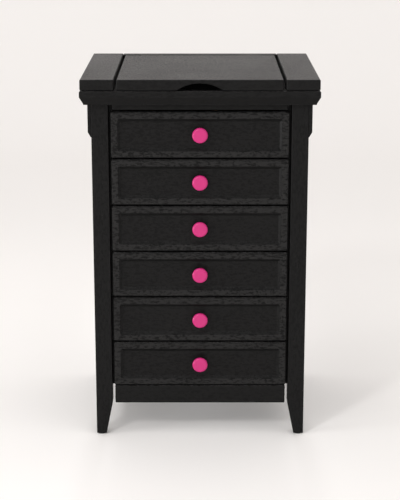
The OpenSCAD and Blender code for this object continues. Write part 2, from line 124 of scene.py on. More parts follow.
class ArmoireStage(bpy.types.PropertyGroup):
    """Camera, floor and light."""

    camera_distance: length("Camera distance", "From the front of the top", 2.784)
    camera_height: length("Camera height", "Height of the camera above the floor", 1.203)
    camera_pitch: FloatProperty(name="Camera pitch", description="How far the camera looks down",
                                default=math.radians(14.52), unit="ROTATION", subtype="ANGLE")
    lens: FloatProperty(name="Lens", description="Focal length on a 36 mm long side in millimetres", default=100.7)
    shift: FloatProperty(name="Shift", description="Vertical shift of the lens", default=-0.06)
    floor: colour("Floor", "Floor and backdrop", (0.97, 0.945, 0.93))
    room_light: FloatProperty(name="Room light", description="Strength of the even light", default=0.98)
    key_light: FloatProperty(name="Key light", description="Power of the lamp at the upper left",
                             default=36, unit="POWER")


# ---- surfaces: outlines carried along an axis, and rings joined to a closed shell ----

def unit(vectors):
    """Each row divided by its length."""
    return vectors / np.linalg.norm(vectors, axis=-1, keepdims=True)


def outline(corners, radii, depth=0.0):
    """Closed outline, counterclockwise, moved inwards by the depth, with each corner turned by an arc.

    A corner between sides with inward normals m and n moves by depth * (m + n) / (1 + m . n). Then, with unit
    directions u and v to its neighbours and half the angle between them h, the arc of radius r is centred on
    P + unit(u + v) * r / sin(h) and meets the sides at r / tan(h) from P. An outer corner's radius shrinks by the
    depth and an inner one's grows. Each arc has a hold point before and after it.
    """
    corner = np.asarray(corners, float)
    before = unit(np.roll(corner, 1, 0) - corner)
    after = unit(np.roll(corner, -1, 0) - corner)
    inward = np.stack([before[:, 1] - after[:, 1], after[:, 0] - before[:, 0]], 1)
    corner = corner + depth * inward / (1 - (before * after).sum(1, keepdims=True))
    outer = (after[:, 0] * before[:, 1] > after[:, 1] * before[:, 0])[:, None]
    radius = np.broadcast_to(np.asarray(radii, float), len(corner))[:, None]
    radius = np.where(outer, np.maximum(radius - depth, 0.1 * MM), radius + depth)
    middle = unit(before + after)
    half = np.arccos(np.clip((before * middle).sum(1), -1, 1))[:, None]
    centre = corner + middle * radius / np.sin(half)
    reach = radius / np.tan(half)
    start = (corner + before * reach - centre)[:, None]
    end = (corner + after * reach - centre)[:, None]
    turn = (math.pi - 2 * half)[:, :, None]
    share = np.linspace(0, 1, ARC_STEPS + 1)[None, :, None]
    arc = (np.sin((1 - share) * turn) * start + np.sin(share * turn) * end) / np.sin(turn) + centre[:, None]
    first = (corner + before * (reach + HOLD))[:, None]
    last = (corner + after * (reach + HOLD))[:, None]
    return np.concatenate([first, arc, last], 1).reshape(-1, 2)


def rectangle(low, high, radius, depth=0.0):
    """Outline of a rectangle with round corners, from the low low corner round by the high low one."""
    return outline([(low[0], low[1]), (high[0], low[1]), (high[0], high[1]), (low[0], high[1])], radius, depth)


def rounding(edge):
    """Insets and rises of a quarter circle from a flat end to a straight side, with a hold line at each end."""
    angle = np.linspace(0, math.pi / 2, 5)
    insets = edge * (1 - np.sin(angle))
    rises = edge * (1 - np.cos(angle))
    return np.concatenate([[edge + HOLD], insets, [0]]), np.concatenate([[0], rises, [edge + HOLD]])


def placed(loops, heights, axis):
    """Rings (m, n, 3) of m outlines (n, 2), each at its own height along the axis."""
    rings = np.empty((*np.shape(loops)[:2], 3))
    rings[..., :2] = loops
    rings[..., 2] = np.reshape(heights, (-1, 1))
    return rings[..., CARRY[axis]]


def carried(corners, radii, low, high, edge, axis):
    """Shell of a board: the outline carried along the axis from low to high, its ends rounded by quarter circles."""
    insets, rises = rounding(edge)
    loops = [outline(corners, radii, depth) for depth in insets]
    return placed(loops + loops[::-1], np.concatenate([low + rises, (high - rises)[::-1]]), axis)


def board(low, high, edge, axis="z"):
    """Shell of a box between two corners with all its arrises rounded."""
    first, second, along = np.argsort(CARRY[axis])
    (a, b), (c, d) = (low[first], low[second]), (high[first], high[second])
    return carried([(a, b), (c, b), (c, d), (a, d)], edge, low[along], high[along], edge, axis)


def volume(rings):
    """Signed volume of a shell, from the triangles of its sides and of its two ends."""
    following = np.roll(rings, -1, 1)
    a, b, c, d = rings[:-1], following[:-1], following[1:], rings[1:]
    sides = np.einsum("ijk,ijk->", a, np.cross(b, c)) + np.einsum("ijk,ijk->", a, np.cross(c, d))
    start, end = (np.cross(ring, np.roll(ring, -1, 0)).sum(0) @ ring.mean(0) for ring in (rings[0], rings[-1]))
    return (sides + end - start) / 6


def mesh_of(name, shells, sharp=38):
    """One mesh of closed shells, facing outwards. Quads join each ring to the next and a flat face closes each end."""
    vertices, faces, count = [], [], 0
    for rings in shells:
        rows, columns = rings.shape[:2]
        outward = rings if volume(rings) > 0 else rings[:, ::-1]
        index = count + np.arange(rows * columns).reshape(rows, columns)
        following = np.roll(index, -1, 1)
        quads = np.stack([index[:-1], following[:-1], following[1:], index[1:]], -1).reshape(-1, 4)
        faces += quads.tolist() + [index[0, ::-1].tolist(), index[-1].tolist()]
        vertices.append(outward.reshape(-1, 3))
        count += rows * columns
    points = np.concatenate(vertices)
    if not np.isfinite(points).all():
        raise ValueError(f"{name} has points that aren't numbers")
    mesh = bpy.data.meshes.new(name)
    mesh.from_pydata(points.tolist(), [], faces)
    mesh.polygons.foreach_set("use_smooth", np.ones(len(faces), bool))
    mesh.set_sharp_from_angle(angle=math.radians(sharp))
    mesh.validate()
    mesh.update()
    return mesh


def new_piece(name, shells, body, material, replaced=(), sharp=38):
    """A piece of the armoire that rides on a body and stands for the CAD nodes it replaces."""
    mesh = mesh_of(name, shells, sharp)
    mesh.materials.append(material)
    piece = bpy.data.objects.new(name, mesh)
    bpy.context.scene.collection.objects.link(piece)
    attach(piece, body)
    if replaced:
        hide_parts(*replaced)
    return piece


def mirrored(shells):
    """The same shells on the other side of the middle plane."""
    return [rings * np.array([-1, 1, 1]) for rings in shells]


def on_side(side, shells):
    """Shells drawn on the right, moved to the named side."""
    return shells if side == "right" else mirrored(shells)


def corners_of(node):
    """Lowest and highest corner of a CAD node as arrays, drawn on the right for a node of the left side."""
    low, high = (np.array(corner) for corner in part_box(node))
    if node.startswith("left_"):
        low[0], high[0] = -high[0], -low[0]
    return low, high


# ---- materials ----

class Socket:
    """A shader socket. Arithmetic on it adds Math nodes to its tree."""

    def __init__(self, shader, socket):
        self.shader = shader
        self.socket = socket

    def math(self, operation, first, second):
        return self.shader.add("ShaderNodeMath", {"operation": operation}, {0: first, 1: second})[0]

    def __add__(self, other):
        return self.math("ADD", self, other)

    def __radd__(self, other):
        return self.math("ADD", other, self)

    def __sub__(self, other):
        return self.math("SUBTRACT", self, other)

    def __rsub__(self, other):
        return self.math("SUBTRACT", other, self)

    def __mul__(self, other):
        return self.math("MULTIPLY", self, other)

    def __rmul__(self, other):
        return self.math("MULTIPLY", other, self)


class Outputs:
    """A node's outputs by name or number, as sockets."""

    def __init__(self, shader, node):
        self.shader = shader
        self.node = node

    def __getitem__(self, key):
        return Socket(self.shader, self.node.outputs[key])


class Shader:
    """The node tree of a material or world, with its one shader."""

    def __init__(self, owner, surface="Principled BSDF"):
        owner.use_nodes = True
        self.owner = owner
        self.tree = owner.node_tree
        self.surface = self.tree.nodes[surface]

    def add(self, kind, settings=None, inputs=None):
        """A node of that type: its settings first, then its sockets' values or links."""
        node = self.tree.nodes.new(kind)
        for key, value in (settings or {}).items():
            setattr(node, key, value)
        self.fill(node, inputs or {})
        return Outputs(self, node)

    def fill(self, node, inputs):
        for key, value in inputs.items():
            if isinstance(value, Socket):
                self.tree.links.new(value.socket, node.inputs[key])
            else:
                node.inputs[key].default_value = value

    def finish(self, **inputs):
        """Sets the shader's sockets, whose names have underscores for spaces, and returns the material or world."""
        self.fill(self.surface, {key.replace("_", " "): value for key, value in inputs.items()})
        return self.owner

    def part(self, vector, letter):
        """One component of a vector."""
        return self.add("ShaderNodeSeparateXYZ", None, {"Vector": vector})[letter]

    def place(self, scale=(1, 1, 1)):
        """Object coordinates, stretched along each axis."""
        here = self.add("ShaderNodeTexCoord")["Object"]
        return self.add("ShaderNodeMapping", None, {"Vector": here, "Scale": scale})["Vector"]

    def noise(self, place, scale, detail=3.0, roughness=0.55, distortion=0.0):
        return self.add("ShaderNodeTexNoise", None, {"Vector": place, "Scale": scale, "Detail": detail,
                                                     "Roughness": roughness, "Distortion": distortion})["Fac"]

    def cells(self, place, scale):
        return self.add("ShaderNodeTexVoronoi", {"feature": "SMOOTH_F1"},
                        {"Vector": place, "Scale": scale, "Smoothness": 0.6})["Distance"]

    def between(self, value, low, high):
        """0 below low, 1 above high, smooth in between."""
        return self.add("ShaderNodeMapRange", {"interpolation_type": "SMOOTHSTEP"},
                        {"Value": value, "From Min": low, "From Max": high})["Result"]

    def blend(self, share, first, second):
        """Colour between two colours."""
        return self.add("ShaderNodeMix", {"data_type": "RGBA"}, {0: share, 6: first, 7: second})[2]

    def bump(self, height, distance):
        return self.add("ShaderNodeBump", None, {"Height": height, "Distance": distance, "Strength": 1.0})["Normal"]


def stored(name, make):
    """The material of that name, made once by giving a new material's shader to make."""
    return bpy.data.materials.get(name) or make(Shader(bpy.data.materials.new(name)))


def stretched(axis, along):
    """Scale of a pattern that is long along one axis."""
    return tuple(along if letter == axis else 1.0 for letter in "xyz")


def darker(shade, share):
    """A colour at that share of its brightness, opaque."""
    return (*(channel * share for channel in shade[:3]), 1)


def painted_wood(axis, coarse, face=None, bloom=0.0):
    """Satin black paint over open-grained wood whose grain runs along the axis.

    Its raised grain is the more marked, the higher the coarse value. Where a face is given, the paint more than
    1 mm behind that Y is finer. Faces turned up are coarser and take more of the lighter worn colour, under a pale
    speckle: painted sheen of the light from above. Faces turned down get none of the lighter worn colour: painted
    shade. The bloom is a sheen that shows at a glancing view.
    """
    look = bpy.context.scene.armoire_finish

    def make(s):
        here = s.place()
        facing = s.part(s.add("ShaderNodeTexCoord")["Normal"], "Z")
        # faces turned up: painted light from above, as more of the lighter worn colour and the painted sheen
        up = s.between(facing, 0.55, 1.0)
        # 0 on faces turned down, which keep the plain dark paint: painted shade under them
        outside_painted_shade = s.between(facing, -0.7, -0.05)
        fibre = s.noise(s.place(stretched(axis, 0.2)), 560, 4, 0.6, 0.3)
        pebble = s.noise(here, 300, 2, 0.6)
        patch = s.noise(s.place(stretched(axis, 0.45)), 210, 2, 0.6, 0.4)
        pore = s.between(s.cells(s.place(stretched(axis, 0.4)), 260), 0.1, 0.42)
        drift = s.noise(here, 7, 2, 0.5)
        # speckle of the painted sheen on faces turned up
        painted_sheen = s.between(s.noise(s.place((1, 0.6, 1)), 250, 3, 0.7), 0.46, 0.62)
        # faces turned up get a stronger bump and more of the lighter worn colour, the colour being painted light from
        # above
        strength = up * 1.8 + coarse
        if face is not None:
            strength = strength * (1 - s.between(s.part(here, "Y"), face + 0.3 * MM, face + 1 * MM) * 0.75)
        height = fibre * 0.3 + patch + pebble * 0.4 + pore * 0.2
        raised = s.between(height + drift * 0.15, 0.99, 1.15)
        # the lighter worn colour, kept off faces turned down as painted shade
        shaded_grain_colour = s.blend(raised * strength * outside_painted_shade, tuple(look.paint), tuple(look.worn_paint))
        return s.finish(
            # the painted sheen laid over faces turned up
            Base_Color=s.blend(up * painted_sheen, shaded_grain_colour, tuple(look.painted_sheen)),
            Roughness=s.between(drift + pebble * 0.6, 0.3, 1.3) * 0.14 + 0.34,
            Normal=s.bump(height * strength, look.grain),
            Specular_IOR_Level=look.sheen,
            Sheen_Weight=bloom,
            Sheen_Roughness=0.5,
        )

    kind = ("" if face is None else "_sunk") + ("_bloom" if bloom else "")
    return stored(f"painted_wood_{axis}_{round(coarse * 10)}{kind}", make)


def enamel():
    """Satin pink enamel with a very slight orange peel."""
    look = bpy.context.scene.armoire_finish

    def make(s):
        here = s.place()
        peel = s.noise(here, 260, 2)
        cloud = s.noise(here, 60, 3)
        return s.finish(
            Base_Color=s.blend(cloud, darker(look.knob, 0.9), tuple(look.knob)),
            Roughness=cloud * 0.12 + 0.3,
            Normal=s.bump(peel, 0.05 * MM),
            Coat_Weight=0.12,
            Coat_Roughness=0.25,
        )

    return stored("pink_enamel", make)


def lacquered_wood(axis):
    """Clear lacquered wood with growth bands and fine fibres along the axis."""
    look = bpy.context.scene.armoire_finish

    def make(s):
        bands = s.noise(s.place(stretched(axis, 0.06)), 55, 4, 0.55, 1.2)
        fibre = s.noise(s.place(stretched(axis, 0.03)), 900, 3, 0.6)
        tone = s.between(bands * 0.75 + fibre * 0.35, 0.3, 0.8)
        return s.finish(
            Base_Color=s.blend(tone, darker(look.wood, 0.55), tuple(look.wood)),
            Roughness=fibre * 0.15 + 0.36,
            Normal=s.bump(fibre * 0.6 + bands * 0.4, 0.12 * MM),
        )

    return stored(f"lacquered_wood_{axis}", make)


def velvet():
    """Short pile velvet: clouds where the pile lies over, with fine fibres."""
    look = bpy.context.scene.armoire_finish

    def make(s):
        here = s.place()
        nap = s.noise(here, 38, 4, 0.6, 0.8)
        fibre = s.noise(here, 1500, 2, 0.7)
        share = s.between(nap * 0.8 + fibre * 0.35, 0.35, 0.85)
        return s.finish(
            Base_Color=s.blend(share, darker(look.velvet, 0.5), tuple(look.velvet)),
            Roughness=fibre * 0.1 + 0.82,
            Normal=s.bump(fibre * 0.7 + nap * 0.6, 0.35 * MM),
            Sheen_Weight=0.6,
            Sheen_Roughness=0.4,
        )

    return stored("velvet", make)


def metal(name, tint, roughness):
    """Metal with fine brush lines and slight clouding."""

    def make(s):
        lines = s.noise(s.place(stretched("x", 0.05)), 1400, 2)
        cloud = s.noise(s.place(), 70, 3)
        return s.finish(
            Base_Color=s.blend(cloud, darker(tint, 0.72), (*tint, 1)),
            Roughness=lines * 0.12 + cloud * 0.1 + roughness,
            Normal=s.bump(lines, 0.03 * MM),
            Metallic=1.0,
        )

    return stored(name, make)


def moulded(name, tint, roughness, shine=0.5):
    """Moulded plastic with a fine spark texture."""

    def make(s):
        grain = s.noise(s.place(), 800, 2)
        return s.finish(
            Base_Color=s.blend(grain, darker(tint, 0.8), (*tint, 1)),
            Roughness=grain * 0.15 + roughness,
            Normal=s.bump(grain, 0.05 * MM),
            Specular_IOR_Level=shine,
        )

    return stored(name, make)


def silvered_glass():
    """Mirror with a trace of haze."""

    def make(s):
        haze = s.between(s.noise(s.place(), 14, 4), 0.45, 0.8)
        return s.finish(
            Base_Color=s.blend(haze, (0.92, 0.94, 0.95, 1), (0.84, 0.87, 0.88, 1)),
            Roughness=haze * 0.03 + 0.015,
            Metallic=1.0,
        )

    return stored("silvered_glass", make)


# ---- shapes of this armoire ----

def tapered_post(node, shape, front):
    """Shells of a post drawn on the right: a square post whose inner faces close in below the rail, and the lip
    behind the drawers. The outline is carried up Z; below the leg height its inner sides move in a straight line
    to the foot. A front post has a round scoop in its outer rear arris, where the arris's arc is replaced by one
    centred on the arris itself."""
    low, high = corners_of(node)
    outer_x, inner_x = high[0], high[0] - shape.post_width
    foot, end_round, lip_edge = shape.foot_width, 1.5 * MM, 0.6 * MM
    insets, rises = rounding(end_round)
    tall = shape.leg_height - low[2]
    # heights, insets and whether the scoop is there
    stations = [(low[2] + rises, insets, False), (low[2] + tall * np.linspace(0, 1, 7)[1:], 0.0, False)]
    if front:
        door_low, door_high = corners_of("right_door_frame")
        around = (door_low[2] + door_high[2]) / 2 + np.array([-1, -1, 1, 1]) * shape.scoop_height / 2
        stations.append((around, 0.0, [False, True, True, False]))
    stations.append((high[2] - rises[::-1], insets[::-1], False))
    heights, depths, scooped = (
        np.concatenate(values) for values in zip(*(np.broadcast_arrays(*station) for station in stations)))
    quarter = np.linspace(-math.pi / 2, -math.pi, CORNER_POINTS)
    hollow = shape.scoop_radius * np.stack([np.cos(quarter), np.sin(quarter)], 1)
    loops = []
    for height, depth, scoop in zip(heights, depths, scooped):
        share = np.clip((shape.leg_height - height) / tall, 0, 1)
        x0 = inner_x + (outer_x - foot - inner_x) * share
        inward = (high[1] - low[1] - foot) * share
        y0, y1 = (low[1], high[1] - inward) if front else (low[1] + inward, high[1])
        loop = rectangle((x0, y0), (outer_x, y1), shape.edge, depth)
        if scoop:
            loop[2 * CORNER_POINTS:3 * CORNER_POINTS] = hollow + (outer_x, y1)
        loops.append(loop)
    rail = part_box("bottom_rail")[1]
    lip_front = rail.y if front else low[1]
    lip = board((low[0], lip_front, rail.z), (inner_x, high[1], high[2]), lip_edge)
    return [placed(loops, heights, "z"), lip]


def cornice_profile(inner, low, high, reach):
    """Closed outline of the cornice, reach beyond the posts by height: a straight slope from a narrow foot out to a
    band along the top. The outline's corners are turned by arcs."""
    foot, lip, band = 14 * MM, 2 * MM, 12 * MM
    corners = [(inner, low), (foot, low), (foot, low + lip), (reach, high - band), (reach, high), (inner, high)]
    return outline(corners, np.array([0.3, 0.5, 0.3, 2.5, 2.6, 0.3]) * MM)


def cornice_rings():
    """The cornice's profile carried round the left, front and right, mitred at the front corners."""
    low, high = corners_of("cornice")
    post_low, post_high = corners_of("right_front_post")
    frieze = corners_of("right_frieze")[1][0]
    side, front, back = post_high[0], post_low[1], high[1]
    reach = high[0] - side
    whole = cornice_profile(0.0, low[2], high[2], reach)
    short = cornice_profile(frieze - side, low[2], high[2], reach)
    step = 0.1 * MM
    stops = ((short, back, 0), (short, front + step, 0), (whole, front, 0), (whole, front, 1))
    half = np.array([np.stack([side + out[:, 0], y - turn * out[:, 0], out[:, 1]], 1) for out, y, turn in stops])
    return np.concatenate([half, (half * (-1, 1, 1))[::-1]])


def drawer_front_rings(node, shape):
    """Rings of a drawer front, from its back over the round edge, the flat frame and the bevel to the sunk panel.
    Each ring is the front's rectangle moved in by the profile's inset, at the profile's depth from the face, with
    the corner radius of that inset."""
    low, high = corners_of(node)
    edge, arris, back = 3.0 * MM, 0.9 * MM, 0.8 * MM
    frame_in, sink = shape.frame_width, shape.panel_sink
    bevel_in = frame_in + shape.bevel_width
    thick = high[1] - low[1]
    fall = sink / shape.bevel_width
    turn = np.linspace(0, math.pi / 2, 6)
    over = np.linspace(0, 1, 4)
    insets = np.concatenate([
        [back + HOLD, back, 0, 0], edge * (1 - np.cos(turn)), [edge + HOLD, frame_in - arris - HOLD],
        frame_in - arris + arris * 2 * over, [bevel_in - HOLD, bevel_in, bevel_in + HOLD],
    ])
    depths = np.concatenate([
        [thick, thick, thick - back, edge + HOLD], edge * (1 - np.sin(turn)), [0, 0],
        fall * arris * over ** 2, [sink - fall * HOLD, sink, sink],
    ])
    radii = np.interp(insets, [0, edge, frame_in - arris, frame_in + arris, bevel_in - HOLD, bevel_in],
                      np.array([3.6, 1.2, 3.6, 3.4, 0.8, 0.5]) * MM)
    loops = [rectangle((low[0] + d, low[2] + d), (high[0] - d, high[2] - d), r) for d, r in zip(insets, radii)]
    return placed(loops, low[1] + depths, "y")


def knob_rings(node):
    """Rings of a knob, turned about its middle line: a flared foot, a waist, and a disc whose rim is a half circle
    and whose face is very slightly domed."""
    low, high = corners_of(node)
    centre = (low + high) / 2
    radius, length_out = (high[0] - low[0]) / 2, high[1] - low[1]
    disc, foot, waist, neck, back, dome, step = np.array([9, 8, 6.4, 8.2, 1, 0.25, 0.2]) * MM
    rim = disc / 2
    along = np.linspace(0, 1, 9)
    stem_r = waist + (foot - waist) * (1 - along) ** 3
    stem_y = along * (length_out - disc - step - 1 * MM)
    turn = np.linspace(-math.pi / 2, math.pi / 2, 17)
    rim_r = radius - rim + rim * np.cos(turn)
    rim_y = length_out - rim + rim * np.sin(turn) - dome
    face = np.linspace(1, 0.02, 6)[1:]
    r = np.concatenate([[back], stem_r, [neck], rim_r, face * (radius - rim)])
    y = np.concatenate([[0], stem_y, [length_out - disc - step], rim_y, length_out - dome * face ** 2])
    angle = np.linspace(0, 2 * math.pi, 72, endpoint=False)
    rings = np.empty((len(r), len(angle), 3))
    rings[..., 0] = centre[0] + r[:, None] * np.cos(angle)
    rings[..., 1] = (high[1] - y)[:, None]
    rings[..., 2] = centre[2] + r[:, None] * np.sin(angle)
    return rings


def lid_rings(shape):
    """Rings of the lid, carried up Z: its plan is a rectangle whose front side turns in at the finger notch. The
    notch is the part of a cylinder of radius R below the lid's face, so its half width at a height z is
    sqrt(R squared - (z - centre) squared). Its arris is the cone of radius R + arris - depth, met by the front in a
    circle of radius R + arris, which closes a little above the notch's crown."""
    low, high = corners_of("lid_panel")
    edge, arris, under, narrow = shape.top_edge, 1.2 * MM, 1.4 * MM, 4 * MM
    half, rise = shape.notch_width / 2, shape.notch_height
    circle = (half ** 2 + rise ** 2) / (2 * rise)
    centre = low[2] + rise - circle
    insets, rises = rounding(edge)
    soft, lower = rounding(under)
    crown = circle * np.sin(np.linspace(math.asin((lower[-1] + circle - rise) / circle), 1.55, 18)[1:])
    above = circle + arris * np.array([0.03, 0.3, 0.6, 0.85, 0.995])
    up = np.concatenate([low[2] - centre + lower, crown, above, [circle + arris + HOLD],
                         (high[2] - rises)[::-1] - centre])
    depths = np.concatenate([soft, np.zeros(len(crown) + len(above) + 1), insets[::-1]])
    spread = np.array([-1, -0.6, -0.2, 0.2, 0.6, 1])
    loops = []
    for rise_here, depth in zip(up, depths):
        mouth = math.sqrt(max((circle + arris) ** 2 - rise_here ** 2, narrow ** 2))
        if rise_here < circle:
            wide = math.sqrt(circle ** 2 - rise_here ** 2) + depth
            x = np.array([-mouth - depth, -wide, -wide, wide, wide, mouth + depth])
            y = np.array([0, arris, shape.notch_depth, shape.notch_depth, arris, 0])
        else:
            x = mouth * spread
            y = np.maximum(circle + arris - np.hypot(x, rise_here), 0)
        cut = np.stack([x, low[1] + depth + y], 1)
        rest = rectangle(low, high, edge, depth)
        loops.append(np.concatenate([rest[:CORNER_POINTS], cut, rest[CORNER_POINTS:]]))
    return placed(loops, centre + up, "z")


def pad_rings(low, high, radius, crown):
    """Rings of a thin lining: an outline carried up Z whose top rolls over at the sides and rises by the crown
    towards the middle, as half a cosine."""
    share = np.linspace(0, 1, 5)
    thick = high[2] - low[2] - crown
    under, lift, slope = 0.3 * MM, 0.2 * MM, 18 * MM
    roll = thick * 0.8
    insets = np.concatenate([[under, 0], roll * (1 - np.cos(share * math.pi / 2)), roll + slope * share[1:]])
    heights = low[2] + np.concatenate([[0, lift], thick - roll + roll * np.sin(share * math.pi / 2),
                                       thick + crown * (1 - np.cos(share[1:] * math.pi)) / 2])
    return placed([rectangle(low[:2], high[:2], radius, depth) for depth in insets], heights, "z")


def roll_rings(low, high, seed):
    """Rings of a stuffed ring roll along X. Its radius follows a superellipse at the ends, and slight gathers,
    products of sines along and around it, keep the pile from looking turned."""
    count, around, squareness, waves, lobes = 49, 40, 14, 34, 3
    along = np.cos(np.linspace(math.pi, 0, count)) * 0.5 + 0.5
    radius = (high[2] - low[2]) / 2
    end = np.clip(1 - np.abs(2 * along - 1) ** squareness, 0.0004, 1) ** 0.5
    angle = np.linspace(0, 2 * math.pi, around, endpoint=False)
    phase = seed * 1.7
    gather = 0.018 * np.sin(along[:, None] * waves + phase) * np.cos(angle * lobes + phase)
    swell = 0.97 - 0.03 * np.abs(np.sin(along[:, None] * math.pi * 3 + phase))
    r = radius * end[:, None] * (swell + gather)
    rings = np.empty((count, around, 3))
    rings[..., 0] = (low[0] + (high[0] - low[0]) * along)[:, None]
    rings[..., 1] = (low[1] + high[1]) / 2 + r * np.cos(angle)
    rings[..., 2] = (low[2] + high[2]) / 2 + r * np.sin(angle)
    return rings


def lining(name, body, low, high, radius, crown):
    """A thin velvet sheet laid flat between two corners."""
    pad = new_piece(name, [pad_rings(low, high, radius, crown)], body, velvet(), sharp=60)
    high[0] - low[0]
    high[1] - low[1]


# ---- operators ----

class ARMOIRE_OT_top(bpy.types.Operator):
    """Build the lid, the end strips and the strip behind the lid"""

    bl_idname = "armoire.top"
    bl_label = "Top"

    def execute(self, context):
        shape = context.scene.armoire_shape
        bloom = context.scene.armoire_finish.bloom
        along, across = (painted_wood(axis, PLAIN, bloom=bloom) for axis in "xy")
        lid = new_piece("lid_board", [lid_rings(shape)], "lid", along, ["lid_panel"])
        # painted shade: the back wall of the finger notch gets a flat near-black without reflection, where the notch
        # lies in shadow
        lid.data.materials.append(moulded("notch_painted_shade", (0.002, 0.002, 0.002), 0.8, 0.0))
        back, near = corners_of("lid_panel")[0][1] + shape.notch_depth, 0.5 * MM
        for face in lid.data.polygons:
            face.material_index = int(len(face.vertices) == 4 and abs(face.center.y - back) < near)
        for side in ("left", "right"):
            low, high = corners_of(f"{side}_end_strip")
            shells = on_side(side, [board(low, high, shape.top_edge)])
            new_piece(f"{side}_top_strip", shells, "case", across, [f"{side}_end_strip"])
        low, high = corners_of("rear_strip")
        new_piece("rear_top_strip", [board(low, high, shape.top_edge)], "case", along, ["rear_strip"])
        return {"FINISHED"}


class ARMOIRE_OT_cornice(bpy.types.Operator):
    """Build the mitred cornice and the friezes under it"""

    bl_idname = "armoire.cornice"
    bl_label = "Cornice"

    def execute(self, context):
        new_piece("cornice_moulding", [cornice_rings()], "case", painted_wood("x", PLAIN),
                  ["cornice"], sharp=30)
        chamfer, end_edge, board_edge = 12 * MM, 1.2 * MM, 1.0 * MM
        arrises = np.array([0.6, 1.4, 0.6, 0.6]) * MM
        for side in ("left", "right"):
            low, high = corners_of(f"{side}_frieze")
            face, post_back = corners_of(f"{side}_front_post")[1][:2]
            back_post = corners_of(f"{side}_back_post")[0][1]
            section = [(face, low[2]), (high[0], low[2] + chamfer), (high[0], high[2]), (face, high[2])]
            shells = [carried(section, arrises, low[1], high[1], end_edge, "y"),
                      board((low[0], post_back, low[2]), (face, back_post, high[2]), board_edge)]
            new_piece(f"{side}_side_frieze", on_side(side, shells), "case", painted_wood("y", PLAIN),
                      [f"{side}_frieze"])
        return {"FINISHED"}


class ARMOIRE_OT_posts(bpy.types.Operator):
    """Build the four posts with their tapered legs"""

    bl_idname = "armoire.posts"
    bl_label = "Posts"

    def execute(self, context):
        shape = context.scene.armoire_shape
        for side in ("left", "right"):
            for place in ("front", "back"):
                node = f"{side}_{place}_post"
                shells = on_side(side, tapered_post(node, shape, place == "front"))
                new_piece(f"{side}_{place}_leg_post", shells, "case", painted_wood("z", PLAIN), [node])
        return {"FINISHED"}


class ARMOIRE_OT_rails(bpy.types.Operator):
    """Build the front and side rails"""

    bl_idname = "armoire.rails"
    bl_label = "Rails"

    def execute(self, context):
        shape = context.scene.armoire_shape
        for node, name in (("top_rail", "upper_front_rail"), ("bottom_rail", "lower_front_rail")):
            low, high = corners_of(node)
            new_piece(name, [board(low, high, shape.edge)], "case", painted_wood("x", PLAIN), [node])
        low, high = corners_of("side_rails")
        inner, edge = corners_of("right_door_frame")[0][0], 1.4 * MM
        right = [board((inner, low[1], low[2]), high, edge)]
        new_piece("lower_side_rails", right + mirrored(right), "case", painted_wood("y", PLAIN),
                  ["side_rails"])
        return {"FINISHED"}


class ARMOIRE_OT_drawers(bpy.types.Operator):
    """Build the drawer fronts and their knobs, and line the drawers"""

    bl_idname = "armoire.drawers"
    bl_label = "Drawers"

    def execute(self, context):
        shape = context.scene.armoire_shape
        wall, gap, front_gap, floor, thick, crown = np.array([9, 0.6, 3.4, 10.2, 2.4, 0.5]) * MM
        side = wall + gap
        for number in range(1, DRAWERS + 1):
            body = f"drawer_{number}"
            paint = painted_wood("x", COARSE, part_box(f"{body}_front")[0].y)
            new_piece(f"{body}_face", [drawer_front_rings(f"{body}_front", shape)], body, paint,
                      [f"{body}_front"])
            new_piece(f"{body}_pull", [knob_rings(f"{body}_knob")], body, enamel(),
                      [f"{body}_knob"], sharp=60)
            low, high = corners_of(f"{body}_box")
            lining(f"{body}_lining", body, (low[0] + side, low[1] + wall + front_gap, low[2] + floor),
                   (high[0] - side, high[1] - side, low[2] + floor + thick), 2 * MM, crown)
        return {"FINISHED"}


class ARMOIRE_OT_doors(bpy.types.Operator):
    """Build the framed and panelled side doors"""

    bl_idname = "armoire.doors"
    bl_label = "Side doors"

    def execute(self, context):
        shape = context.scene.armoire_shape
        edge, stile, rail = shape.edge, shape.stile_width, shape.door_rail
        tuck, field_edge = 1.5 * MM, 0.8 * MM
        for side in ("left", "right"):
            (x0, y0, z0), (x1, y1, z1) = corners_of(f"{side}_door_frame")
            stiles = [board((x0, y0, z0), (x1, y0 + stile, z1), edge),
                      board((x0, y1 - stile, z0), (x1, y1, z1), edge)]
            rails = [board((x0, y0 + stile, z0), (x1, y1 - stile, z0 + rail), edge, "y"),
                     board((x0, y0 + stile, z1 - rail), (x1, y1 - stile, z1), edge, "y")]
            new_piece(f"{side}_door_stiles_and_rails", on_side(side, stiles + rails), f"{side}_door",
                      painted_wood("z", PLAIN), [f"{side}_door_frame"])
            low, high = corners_of(f"{side}_door_panel")
            panel = [board((low[0], y0 + stile - tuck, z0 + rail - tuck),
                           (high[0], y1 - stile + tuck, z1 - rail + tuck), field_edge)]
            new_piece(f"{side}_door_field", on_side(side, panel), f"{side}_door",
                      painted_wood("z", FIELD), [f"{side}_door_panel"])
        return {"FINISHED"}


